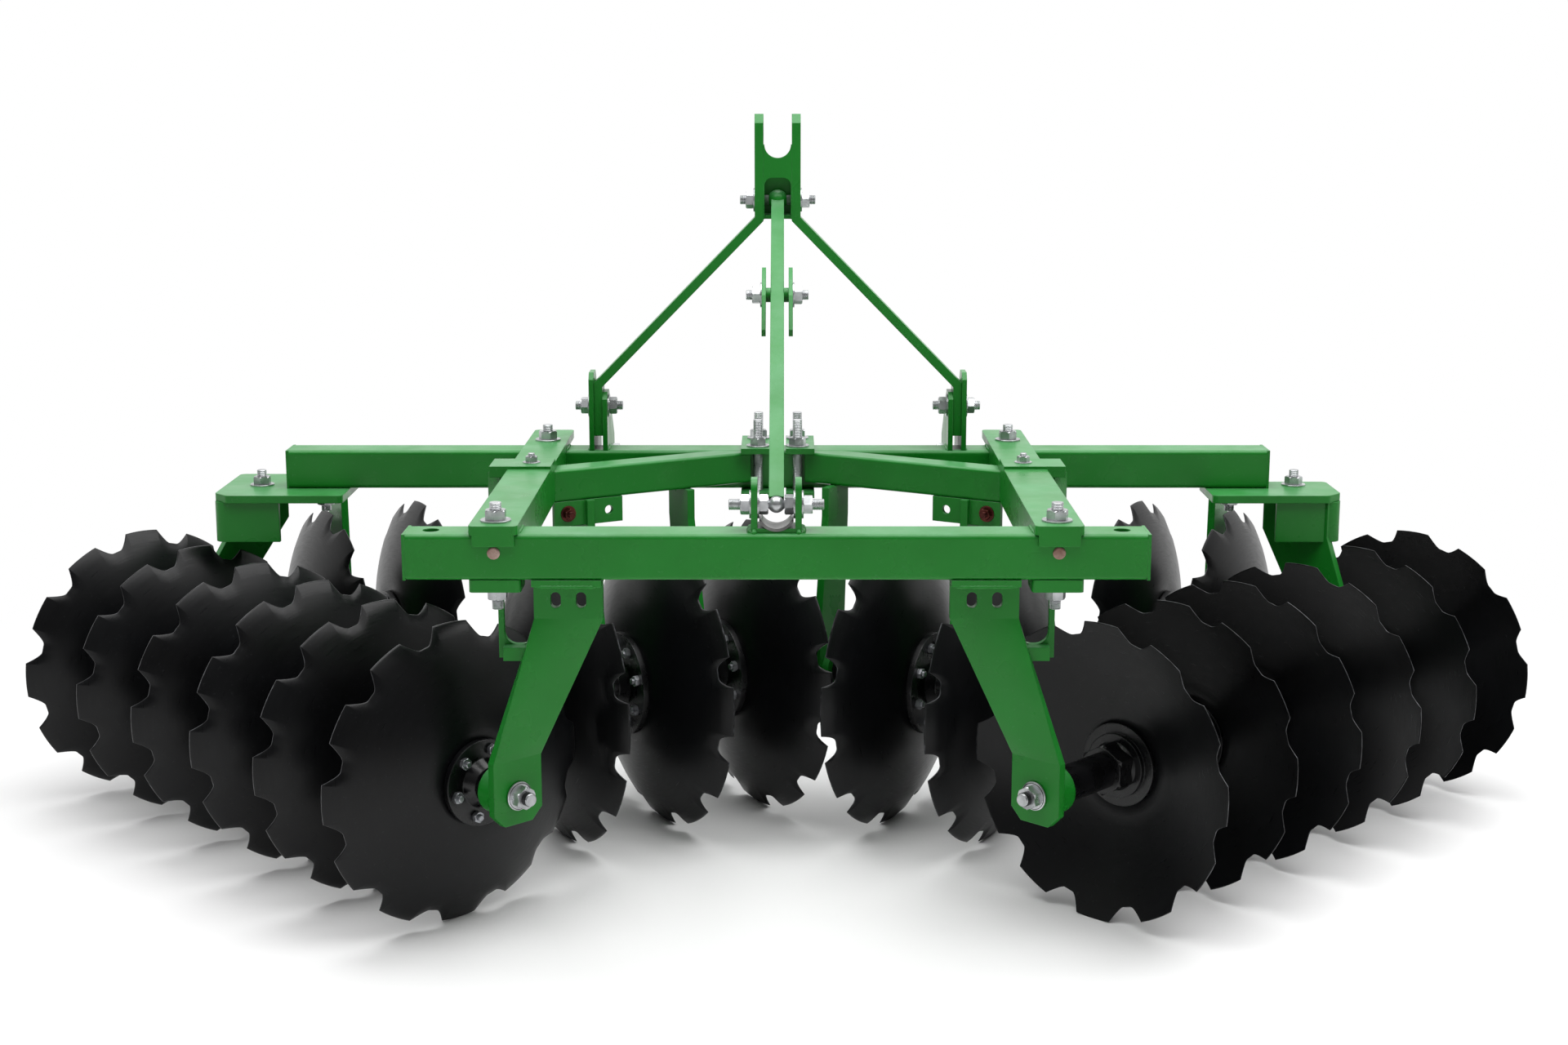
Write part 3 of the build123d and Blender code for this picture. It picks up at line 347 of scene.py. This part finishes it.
class Finish:
    """A material's node tree with one method that adds any node."""

    def __init__(self, name):
        self.material = bpy.data.materials.new(name)
        self.material.use_nodes = True
        self.tree = self.material.node_tree
        self.shader = self.tree.nodes["Principled BSDF"]
        self.place = self.node("ShaderNodeTexCoord", output="Object")

    def link(self, target, value):
        if isinstance(value, Value):
            self.tree.links.new(value.socket, target)
        else:
            target.default_value = value

    def node(self, kind, settings=None, inputs=None, output=0):
        """Add a node: its settings first, then its sockets' values or links, and give one of its outputs."""
        made = self.tree.nodes.new(kind)
        for key, value in (settings or {}).items():
            setattr(made, key, value)
        for key, value in (inputs or {}).items():
            self.link(made.inputs[key], value)
        return Value(self, made.outputs[output])

    def noise(self, scale, detail=3.0, rough=0.5, at=None):
        inputs = {"Vector": at or self.place, "Scale": scale, "Detail": detail, "Roughness": rough}
        return self.node("ShaderNodeTexNoise", {}, inputs, output="Fac")

    def between(self, value, low, high, to_low=0.0, to_high=1.0):
        """Map a value from one range to another, held at both ends."""
        return self.node("ShaderNodeMapRange", {}, {"Value": value, "From Min": low, "From Max": high,
                                                    "To Min": to_low, "To Max": to_high})

    def blend(self, factor, first, second):
        """Mix two colours."""
        return self.node("ShaderNodeMix", {"data_type": "RGBA"}, {0: factor, 6: first, 7: second}, output=2)

    def bump(self, height, distance, strength=1.0, normal=None):
        inputs = {"Height": height, "Distance": distance, "Strength": strength}
        if normal:
            inputs["Normal"] = normal
        self.link(self.shader.inputs["Normal"], self.node("ShaderNodeBump", {}, inputs))

    def edges(self, radius):
        """The surface direction with edges eased over a radius, and how far each point is turned by that."""
        eased = self.node("ShaderNodeBevel", {"samples": 4}, {"Radius": radius})
        plain = self.node("ShaderNodeNewGeometry", output="True Normal")
        same = self.node("ShaderNodeVectorMath", {"operation": "DOT_PRODUCT"}, {0: eased, 1: plain},
                         output="Value")
        return eased, self.between(same, 0.97, 0.72)

    def set(self, **values):
        for key, value in values.items():
            self.link(self.shader.inputs[key.replace("_", " ")], value)
        return self.material


def rgb(red, green, blue):
    """An sRGB colour, 0 to 255, as linear light with alpha."""
    part = np.array([red, green, blue]) / 255
    linear = np.where(part <= 0.04045, part / 12.92, ((part + 0.055) / 1.055) ** 2.4)
    return (*linear.tolist(), 1.0)


def upward(finish):
    """How far a surface faces up, from 0 for a wall to 1 for a top."""
    normal = finish.node("ShaderNodeNewGeometry", output="Normal")
    return finish.between(finish.node("ShaderNodeSeparateXYZ", {}, {0: normal}, output="Z"), 0.2, 0.95)


def green_paint(name="green_enamel"):
    """Sprayed gloss green: faint clouding, tops painted paler as thin dust and painted light from above, edges
    painted paler as wear and a painted highlight, and an orange-peel bump.
    """
    f = Finish(name)
    cloud = f.between(f.noise(5.0, 4.0), 0.3, 0.7)
    paint = f.blend(cloud, rgb(17, 113, 28), rgb(23, 124, 36))
    eased, edge = f.edges(EASED_EDGE)
    # Tops painted paler: partly thin dust, partly painted light falling from above.
    dust_and_top_light = upward(f) * f.between(f.noise(9.0, 5.0, 0.6), 0.35, 0.75, 0.05, 0.22)
    # Edges painted a paler green: partly wear, partly a painted highlight.
    edge_wear_and_highlight = edge * f.between(f.noise(40.0, 4.0), 0.35, 0.65, 0.25, 0.75)
    speck = f.between(f.noise(160.0, 2.0), 0.66, 0.78) * 0.05
    paint = f.blend(edge_wear_and_highlight * 0.55, paint, rgb(78, 168, 88))
    paint = f.blend(dust_and_top_light + speck, paint, rgb(160, 208, 180))
    f.bump(f.noise(420.0, 1.0), 0.00012, 0.4, eased)
    rough = f.between(f.noise(14.0, 3.0), 0.3, 0.7, 0.24, 0.36) + dust_and_top_light * 0.3
    return f.set(Base_Color=paint, Roughness=rough, Specular_IOR_Level=0.28)


def disc_black(name="disc_black"):
    """Satin black paint on rolled steel: faint rings from rolling, dust specks and a bright ground edge of bare
    steel, drawn as a rim line that is partly a painted highlight.
    """
    f = Finish(name)
    edge = f.node("ShaderNodeAttribute", {"attribute_name": "edge_distance"}, output="Fac")
    ring = f.node("ShaderNodeAttribute", {"attribute_name": "ring_radius"}, output="Fac")
    turn = f.node("ShaderNodeAttribute", {"attribute_name": "ring_angle"}, output="Fac")
    polar = f.node("ShaderNodeCombineXYZ", {}, {"X": ring * 90.0, "Y": turn * 1.2})
    rolled = f.noise(4.0, 3.0, 0.6, polar)
    cloud = f.between(f.noise(7.0, 4.0), 0.3, 0.7)
    black = f.blend(cloud, rgb(5, 5, 6), rgb(11, 12, 14))
    speck = f.between(f.noise(210.0, 2.0), 0.66, 0.8)
    black = f.blend(speck * 0.10, black, rgb(96, 98, 100))
    # Bright rim line at the ground edge: bare steel, partly a painted highlight.
    ragged_rim_distance = edge + f.noise(60.0, 3.0) * 0.004
    ground_edge_and_highlight = f.between(ragged_rim_distance, 0.0014, 0.0028, 0.6, 0.0)
    colour = f.blend(ground_edge_and_highlight, black, rgb(112, 114, 118))
    rough = f.between(rolled, 0.3, 0.7, 0.27, 0.38)
    f.bump(rolled, 0.0002, 0.35)
    return f.set(Base_Color=colour, Roughness=rough, Metallic=ground_edge_and_highlight * 0.7, Specular_IOR_Level=0.24)


def hub_black(name="hub_black"):
    """Cast hub under black enamel: slight sand texture, a cloudy tone and edges blended to a lighter grey."""
    f = Finish(name)
    cloud = f.between(f.noise(22.0, 4.0), 0.35, 0.7)
    eased, edge = f.edges(EASED_EDGE)
    colour = f.blend(cloud, rgb(5, 5, 6), rgb(13, 13, 15))
    colour = f.blend(edge * 0.3, colour, rgb(80, 82, 84))
    f.bump(f.noise(330.0, 2.0), 0.0003, 0.4, eased)
    return f.set(Base_Color=colour, Roughness=f.between(cloud, 0, 1, 0.22, 0.36), Specular_IOR_Level=0.4)


def zinc_plate(name, light, dark):
    """Zinc-plated steel: bright with cloudy grey and a fine grain."""
    f = Finish(name)
    cloud = f.between(f.noise(40.0, 3.0), 0.3, 0.7)
    colour = f.blend(cloud, dark, light)
    f.bump(f.noise(300.0, 1.0), 0.00003, 0.2)
    return f.set(Base_Color=colour, Metallic=0.8, Roughness=f.between(f.noise(60.0), 0.3, 0.7, 0.26, 0.36))


GREEN, BLACK, HUB = green_paint(), disc_black(), hub_black()
ZINC = zinc_plate("zinc_bolts", rgb(204, 206, 208), rgb(152, 154, 156))
AXLE_STEEL = zinc_plate("axle_steel", rgb(72, 72, 74), rgb(38, 38, 40))
DULL = zinc_plate("dull_bolts", rgb(172, 174, 178), rgb(104, 106, 110))
RUST = zinc_plate("primed_bolts", rgb(104, 50, 42), rgb(66, 32, 28))
BROWN = zinc_plate("brown_bolt_ends", rgb(168, 146, 136), rgb(122, 92, 80))

for name, node in frame["nodes"].items():
    finish = GREEN
    if "_spools_" in name:
        finish = HUB
    elif "_axle_" in name:
        finish = AXLE_STEEL
    elif name in ("clamp_studs", "mast_bolts", "ball_stud", "lower_hitch_pins"):
        finish = ZINC
    node.data.materials.clear()
    node.data.materials.append(finish)

GANGS = [Gang(kind, hand) for kind in GANG_KINDS for hand in ("left", "right")]
for gang in GANGS:
    disc_set(gang, BLACK)
    size = gang.sizes
    circle = size["flange"] * 0.78
    turns = np.linspace(0, 2 * math.pi, size["bolts"], endpoint=False) + 0.3
    outward = -gang.hollow
    face = [hub + outward * FLANGE_THICK for hub in gang.hubs]
    places = [(gang.world(circle, a, s), gang.along * outward) for s in face for a in turns]
    fasteners(f"{gang.name}_flange_bolts", places, 19 * MM, gang.body, DULL, shank=6 * MM, washer=False,
              sides=12)


# Nuts on the stubs through the rear legs, and the large nut in the near hollow
STUB_NUT_S = -190 * MM
for gang in GANGS[:2]:
    place = (gang.world(0.0, 0.0, STUB_NUT_S), -gang.along)
    fasteners(f"{gang.name}_stub_nut", [place], 37 * MM, gang.body, ZINC, shank=13 * MM, washer=False,
              flange=26 * MM)
HOLLOW_NUT_S = 50 * MM
near = GANGS[1]
stacked("near_hollow_nut", nut_rings(84 * MM, 0, 0, 0), [(near.world(0.0, 0.0, HOLLOW_NUT_S), -near.along)],
        near.body, HUB)

# Bolts and welds on the frame
(rear_low, rear_high), (front_low, front_high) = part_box("rear_beam"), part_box("front_beam")
SIDE_X, SIDE_PLATE, LAP_T = 483 * MM, 16 * MM, 6 * MM
REAR_Y, FRONT_Y = (rear_low[1] + rear_high[1]) / 2, (front_low[1] + front_high[1]) / 2
BEAM_TOP, BEAM_LOW = rear_high[2], rear_low[2]
DOWN, BACK = -UP, np.array([0.0, -1.0, 0.0])
sides = (-1, 1)
side_top = BEAM_TOP + SIDE_PLATE
fasteners("side_member_bolts", [((s * SIDE_X, y, side_top), UP) for s in sides for y in (REAR_Y, FRONT_Y)],
          34 * MM, "frame", ZINC, shank=13 * MM)
LAP_BACK = 270 * MM           # lap bolts, behind the front beam
lap_y = front_low[1] - LAP_BACK
fasteners("lap_bolts", [((s * SIDE_X, lap_y, side_top + LAP_T), UP) for s in sides], 22 * MM, "frame", ZINC,
          shank=6 * MM)
under_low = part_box("under_plates")[0]
fasteners("under_plate_nuts", [((s * SIDE_X, REAR_Y, under_low[2]), DOWN) for s in sides], 32 * MM, "frame",
          ZINC, shank=18 * MM)
flat_end = [(np.full(36, r * MM), z * MM) for r, z in ((11, 0), (11, 1.5), (10, 2.2), (8, 2.6), (1, 2.7))]
FACE_BOLT_DOWN = 32 * MM
places = [((s * SIDE_X, rear_low[1], BEAM_TOP - FACE_BOLT_DOWN), BACK) for s in sides]
stacked("rear_face_bolt_ends", flat_end, places, "frame", BROWN)
END_PLATE_T, END_BOLT_X, BEAM_NUT_X, BEAM_NUT_BACK = 16 * MM, 1088 * MM, 950 * MM, 22 * MM
end_z = BEAM_LOW - END_PLATE_T
fasteners("end_plate_bolts", [((s * END_BOLT_X, FRONT_Y, BEAM_LOW), UP) for s in sides], 32 * MM, "frame",
          ZINC, shank=14 * MM)
fasteners("end_plate_nuts", [((s * END_BOLT_X, FRONT_Y, end_z), DOWN) for s in sides], 24 * MM, "frame",
          ZINC, shank=6 * MM)
places = [((s * BEAM_NUT_X, FRONT_Y - BEAM_NUT_BACK, end_z), DOWN) for s in sides]
fasteners("beam_plate_nuts", places, 34 * MM, "frame", ZINC, shank=14 * MM)

# Hanger bolts under the diagonals, on the face towards the rear beam
HANGER_S, HANGER_HOLE, HANGER_OFF, HANGER_Z = 375 * MM, 45 * MM, 15 * MM, 665.5 * MM
places = []
for gang in GANGS[2:4]:
    rearward = gang.side if gang.side[1] < 0 else -gang.side
    at = gang.origin + (HANGER_S + HANGER_HOLE) * gang.along - HANGER_OFF * rearward
    places.append(((at[0], at[1], HANGER_Z), rearward))
fasteners("hanger_bolts", places, 21 * MM, "frame", RUST, shank=8 * MM)

# Clamp studs, mast and brace bolts with real threads
STUD_X, STUD_OFF, CLAMP_T = 41 * MM, 12 * MM, 12 * MM
stud_low, stud_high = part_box("clamp_studs")
studs = [(s * STUD_X, y) for s in sides for y in (front_low[1] - STUD_OFF, front_high[1] + STUD_OFF)]
lines = [((x, y, stud_low[2]), (x, y, stud_high[2])) for x, y in studs]
rods = threaded_rods("clamp_stud_rods", lines, 10 * MM, "frame", ZINC)
nuts = [((x, y, BEAM_TOP + CLAMP_T), UP) for x, y in studs]
nuts += [((x, y, BEAM_LOW - CLAMP_T), DOWN) for x, y in studs]
fasteners("clamp_stud_nuts", nuts, 31 * MM, "frame", ZINC, shank=0.1 * MM)
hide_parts("clamp_studs")

MAST_BOLT_Z, LUG_BOLT_Z, LUG_X = 1272 * MM, 845 * MM, 374 * MM
LINK_DOWN, BRACE_RUN, BRACE_DROP = 347 * MM, 0.8774, 0.4798   # link bolt along the brace, and the brace's slope
LINK = np.array([0.0, FRONT_Y - LINK_DOWN * BRACE_RUN, MAST_BOLT_Z - LINK_DOWN * BRACE_DROP])
# Each cross bolt's middle, half its grip and its shank's radius
cross = {"mast": ((0.0, FRONT_Y, MAST_BOLT_Z), 47 * MM, 10 * MM), "link": (tuple(LINK), 30 * MM, 8 * MM),
         "left_lug": ((-LUG_X, FRONT_Y, LUG_BOLT_Z), 19 * MM, 10 * MM),
         "right_lug": ((LUG_X, FRONT_Y, LUG_BOLT_Z), 19 * MM, 10 * MM)}
RIGHT = np.array([1.0, 0.0, 0.0])
places = [(np.array(at) + way * face * RIGHT, way * RIGHT) for at, face, _ in cross.values() for way in sides]
bolts = fasteners("mast_cross_bolts", places, 31 * MM, "frame", ZINC, shank=12 * MM)
for where, (at, face, radius) in cross.items():
    start = np.array(at) - face * RIGHT
    lathe(f"cross_shank_{where}", [(radius, 0), (radius, 2 * face)], start, RIGHT, "frame", ZINC)
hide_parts("mast_bolts")

ball_low, ball_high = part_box("ball_stud")
BALL = np.array([0.0, (ball_low[1] + ball_high[1]) / 2, (ball_low[2] + ball_high[2]) / 2])
LUG_OUT, LUG_IN, BALL_R, PIN_R = 43.5 * MM, 32.5 * MM, 14.6 * MM, 9 * MM
NECK_TURN = 0.66              # where the ball meets its necks, in radians from the pin's line
turn = np.linspace(NECK_TURN, math.pi - NECK_TURN, 17)
outline = [(PIN_R, -LUG_OUT), (PIN_R, -20 * MM), (7 * MM, -17 * MM), (7 * MM, -14 * MM)]
outline += [(BALL_R * math.sin(t), -BALL_R * math.cos(t)) for t in turn]
outline += [(r, -z) for r, z in outline[3::-1]]
ball = lathe("brace_ball", outline, BALL, RIGHT, "frame", ZINC)
places = [(BALL + way * LUG_OUT * RIGHT, way * RIGHT) for way in sides]
fasteners("ball_stud_nuts", places, 31 * MM, "frame", ZINC, shank=20 * MM)
places = [(BALL + way * LUG_IN * RIGHT, -way * RIGHT) for way in sides]
stacked("ball_stud_inner_nuts", nut_rings(31 * MM, 1, 0, 0)[:-2], places, "frame", ZINC)
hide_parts("ball_stud")

STEEL = zinc_plate("grey_steel", rgb(120, 120, 118), rgb(76, 76, 75))
SADDLE_UP, SADDLE_R, SADDLE_REACH, SADDLE_T, SADDLE_LONG = 37 * MM, 34 * MM, 1.05, 5 * MM, 58 * MM
cup("brace_saddle", (0.0, REAR_Y, BEAM_TOP + SADDLE_UP), SADDLE_R, SADDLE_REACH, SADDLE_T, SADDLE_LONG, "frame",
    STEEL)

# Skirts bent round the near corner of each end plate
bend = np.linspace(0, math.pi / 2, 9)
SKIRT_X, SKIRT_Y = (1030 * MM, 1159 * MM), front_low[1] - 68 * MM
SKIRT_R, SKIRT_T, SKIRT_LOW, SKIRT_SHORT = 16 * MM, 12 * MM, 576 * MM, 30 * MM
corner = np.stack([SKIRT_X[1] - SKIRT_R * (1 - np.sin(bend)), SKIRT_Y + SKIRT_R * (1 - np.cos(bend))], 1)
path = np.concatenate([[(SKIRT_X[0], SKIRT_Y)], corner, [(SKIRT_X[1], front_low[1] - SKIRT_SHORT)]])
for s, hand in zip(sides, ("left", "right")):
    turned = path * (s, 1)
    strip(f"end_skirt_{hand}", turned[::s], SKIRT_LOW, end_z, SKIRT_T, "frame", GREEN)

# Weld beads
LUG_FACES, LUG_HALF_Y = (LUG_IN, LUG_OUT), 28 * MM
SIDE_EDGES, SIDE_RUN_DOWN = (441 * MM, 525 * MM), 58 * MM    # the side members' edges across, and down the beam
LEG_WELD_X, LEG_WELD_DOWN = (302 * MM, 418 * MM), 12 * MM
MAST_LUG_EDGES = (355 * MM, 393 * MM)
runs, feet = [], []
for s in sides:
    for x in LUG_FACES:
        feet.append(((s * x, REAR_Y - LUG_HALF_Y, BEAM_TOP), (s * x, REAR_Y + LUG_HALF_Y, BEAM_TOP)))
    feet.append([(s * x, REAR_Y - LUG_HALF_Y, BEAM_TOP) for x in LUG_FACES])
    for edge in SIDE_EDGES:
        runs.append(((s * edge, rear_low[1] + 12 * MM, BEAM_TOP), (s * edge, rear_high[1], BEAM_TOP)))
        runs.append(((s * edge, front_low[1], BEAM_TOP), (s * edge, front_high[1], BEAM_TOP)))
        runs.append(((s * edge, rear_high[1], BEAM_TOP - SIDE_RUN_DOWN), (s * edge, rear_high[1], BEAM_TOP)))
    runs.append([(s * x, rear_low[1] + 2 * MM, BEAM_LOW - LEG_WELD_DOWN) for x in LEG_WELD_X])
    for x in MAST_LUG_EDGES:
        runs.append(((s * x, front_low[1] + 5 * MM, BEAM_TOP), (s * x, front_high[1], BEAM_TOP)))
weld_beads("frame_welds", runs, 7 * MM, "frame", GREEN)
weld_beads("lug_foot_welds", feet, 14 * MM, "frame", GREEN)


# Floor, light and camera
FADE_FROM, FADE_TO = 1.25, 2.3   # metres from the middle


def floor():
    """A pale floor: it keeps the shadow near the machine and is plain white further out to the camera."""
    f = Finish("studio_floor")
    flat = f.node("ShaderNodeVectorMath", {"operation": "MULTIPLY"}, {0: f.place, 1: (0.72, 1.0, 1.0)})
    distance = f.node("ShaderNodeVectorMath", {"operation": "LENGTH"}, {0: flat}, output="Value")
    seen = f.node("ShaderNodeLightPath", output="Is Camera Ray")
    mirrored = f.node("ShaderNodeLightPath", output="Is Glossy Ray")
    far = f.between(distance, FADE_FROM, FADE_TO) * (seen + mirrored)
    f.set(Base_Color=(0.86, 0.86, 0.86, 1), Roughness=0.9, Specular_IOR_Level=0.1)
    white = f.node("ShaderNodeEmission", {}, {"Color": (1, 1, 1, 1), "Strength": 1.0})
    mixed = f.node("ShaderNodeMixShader", {}, {0: far, 1: Value(f, f.shader.outputs[0]), 2: white})
    f.tree.links.new(mixed.socket, f.tree.nodes["Material Output"].inputs["Surface"])
    reach = 30.0
    mesh = bpy.data.meshes.new("floor")
    corners = [(-reach, -reach, 0), (reach, -reach, 0), (reach, reach, 0), (-reach, reach, 0)]
    mesh.from_pydata(corners, [], [(0, 1, 2, 3)])
    plane = bpy.data.objects.new("floor", mesh)
    bpy.context.scene.collection.objects.link(plane)
    mesh.materials.append(f.material)


def soft_box(name, at, aim, size, watts):
    """A large square lamp that faces a point."""
    lamp = bpy.data.lights.new(name, "AREA")
    lamp.shape, lamp.size, lamp.size_y, lamp.energy = "RECTANGLE", size[0], size[1], watts
    made = bpy.data.objects.new(name, lamp)
    bpy.context.scene.collection.objects.link(made)
    along, first, second = axes_of(np.asarray(at, float) - np.asarray(aim, float))
    made.location = at
    columns = np.stack([second, first, along], 1)
    made.rotation_euler = Matrix(columns.tolist()).to_euler()


def world():
    """White to the camera; as light, bright behind the machine and overhead and dim behind the camera."""
    made = bpy.data.worlds.new("studio")
    bpy.context.scene.world = made
    made.use_nodes = True
    tree = made.node_tree

    def node(kind, inputs, **settings):
        new = tree.nodes.new(kind)
        for key, value in settings.items():
            setattr(new, key, value)
        for key, value in inputs.items():
            if isinstance(value, bpy.types.NodeSocket):
                tree.links.new(value, new.inputs[key])
            else:
                new.inputs[key].default_value = value
        return new.outputs

    way = node("ShaderNodeSeparateXYZ", {0: node("ShaderNodeTexCoord", {})["Generated"]})
    behind = node("ShaderNodeMapRange", {"Value": way["Y"], "From Min": -0.35, "From Max": 0.5})[0]
    above = node("ShaderNodeMapRange", {"Value": way["Z"], "From Min": 0.2, "To Max": 0.45})[0]
    level = node("ShaderNodeMath", {0: behind, 1: 0.65, 2: 0.10}, operation="MULTIPLY_ADD")[0]
    level = node("ShaderNodeMath", {0: level, 1: above}, operation="ADD")[0]
    path = node("ShaderNodeLightPath", {})
    mirrored = node("ShaderNodeMath", {0: path["Is Glossy Ray"], 1: behind}, operation="MULTIPLY")[0]
    white = node("ShaderNodeMath", {0: path["Is Camera Ray"], 1: mirrored}, operation="MAXIMUM")[0]
    strength = node("ShaderNodeMix", {0: white, 2: level, 3: 1.0}, data_type="FLOAT")
    back = tree.nodes["Background"]
    back.inputs["Color"].default_value = (1, 1, 1, 1)
    tree.links.new(strength[0], back.inputs["Strength"])


def camera():
    """The photograph's view: from behind, a little above, with a normal lens."""
    PHOTO_WIDE, FOCAL_PX, SENSOR = 1920, 2710.0, 36.0
    made = bpy.data.objects.new("camera", bpy.data.cameras.new("camera"))
    bpy.context.scene.collection.objects.link(made)
    made.data.sensor_width, made.data.lens = SENSOR, FOCAL_PX / PHOTO_WIDE * SENSOR
    made.location = (0.013, rear_low[1] - 3.693, 1.521)
    made.rotation_euler = (math.radians(90 - 11.4), 0, 0)
    bpy.context.scene.camera = made


floor()
world()
soft_box("overhead", (0.7, -0.5, 4.2), (0.7, -0.4, 0.5), (6.4, 4.0), 270)
soft_box("left_window", (-4.2, -3.0, 2.6), (0, 0, 0.5), (3.0, 2.5), 90)
soft_box("right_window", (4.2, -3.4, 2.4), (0, 0, 0.5), (3.0, 2.5), 60)
camera()
bpy.context.scene.view_settings.view_transform = "Standard"
